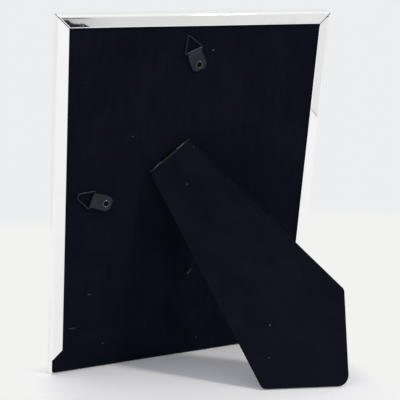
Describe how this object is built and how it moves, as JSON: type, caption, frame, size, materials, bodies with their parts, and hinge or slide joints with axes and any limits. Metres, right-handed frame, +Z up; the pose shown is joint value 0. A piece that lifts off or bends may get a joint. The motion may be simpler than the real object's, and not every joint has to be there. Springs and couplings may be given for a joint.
{
  "type": "easel back photo frame",
  "caption": "Slim plated photo frame on a hinged velvet strut, with glass, a slide-out velvet back and swivelling triangle-ring hangers for portrait or landscape.",
  "frame": {"origin": "bottom centre of the bounding box, on the surface that the frame stands on", "axes": "+Z up, -Y the way the picture faces, +X to the right as seen from the front"},
  "size_m": [0.158, 0.1062, 0.202],
  "materials": {
    "silver_plate": "polished silver plate",
    "key_brass": "bare strip",
    "glass": "clear float glass",
    "insert_paper": "blank satin insert",
    "card": "grey board",
    "velvet": "black flocked velvet",
    "board": "hardboard",
    "lining_paper": "matt black paper",
    "hinge_steel": "blackened strip steel",
    "hanger_metal": "black nickel"
  },
  "bodies": {
    "frame": {"left_rail": "silver_plate", "right_rail": "silver_plate", "top_rail": "silver_plate", "bottom_rail": "silver_plate", "corner_key_bottom_left": "key_brass", "corner_key_top_left": "key_brass", "corner_key_bottom_right": "key_brass", "corner_key_top_right": "key_brass", "glass_pane": "glass", "photo_insert": "insert_paper", "backing_card": "card"},
    "back_panel": {"panel_velvet": "velvet", "panel_board": "board", "panel_lining": "lining_paper", "panel_hinge_leaf": "hinge_steel", "hinge_pin": "hinge_steel", "panel_leaf_rivets": "hinge_steel", "top_eyelet": "hanger_metal", "top_eyelet_washer": "hinge_steel", "side_eyelet": "hanger_metal", "side_eyelet_washer": "hinge_steel"},
    "strut": {"strut_velvet_outer": "velvet", "strut_board": "board", "strut_velvet_inner": "velvet", "strut_hinge_leaf": "hinge_steel", "strut_leaf_rivets": "hinge_steel"},
    "top_tab": {"top_hanger_tab": "hanger_metal"},
    "top_ring": {"top_hanger_ring": "hanger_metal"},
    "side_tab": {"side_hanger_tab": "hanger_metal"},
    "side_ring": {"side_hanger_ring": "hanger_metal"}
  },
  "joints": [
    {"name": "panel_slide", "type": "slide", "parent": "frame", "child": "back_panel", "axis": [0, -0.2499, -0.9683], "range_m": [0, 0.2078]},
    {"name": "strut_fold", "type": "hinge", "parent": "back_panel", "child": "strut", "pos_m": [0.0141, -0.01322, 0.12371], "axis": [-0.7826, 0.1556, 0.6028], "range_deg": [0, 36.5]},
    {"name": "top_tab_swivel", "type": "hinge", "parent": "back_panel", "child": "top_tab", "pos_m": [0, -0.00166, 0.17371], "axis": [0, 0.9683, -0.2499], "continuous": true},
    {"name": "top_ring_tip", "type": "hinge", "parent": "top_tab", "child": "top_ring", "pos_m": [0.00323, 0.00126, 0.18063], "axis": [-0.9171, 0.0996, 0.3861], "range_deg": [0, 145]},
    {"name": "side_tab_swivel", "type": "hinge", "parent": "back_panel", "child": "side_tab", "pos_m": [0.0496, -0.0207, 0.09992], "axis": [0, 0.9683, -0.2499], "continuous": true},
    {"name": "side_ring_tip", "type": "hinge", "parent": "side_tab", "child": "side_ring", "pos_m": [0.05727, -0.01899, 0.10216], "axis": [-0.3206, 0.2367, 0.9172], "range_deg": [0, 145]}
  ]
}
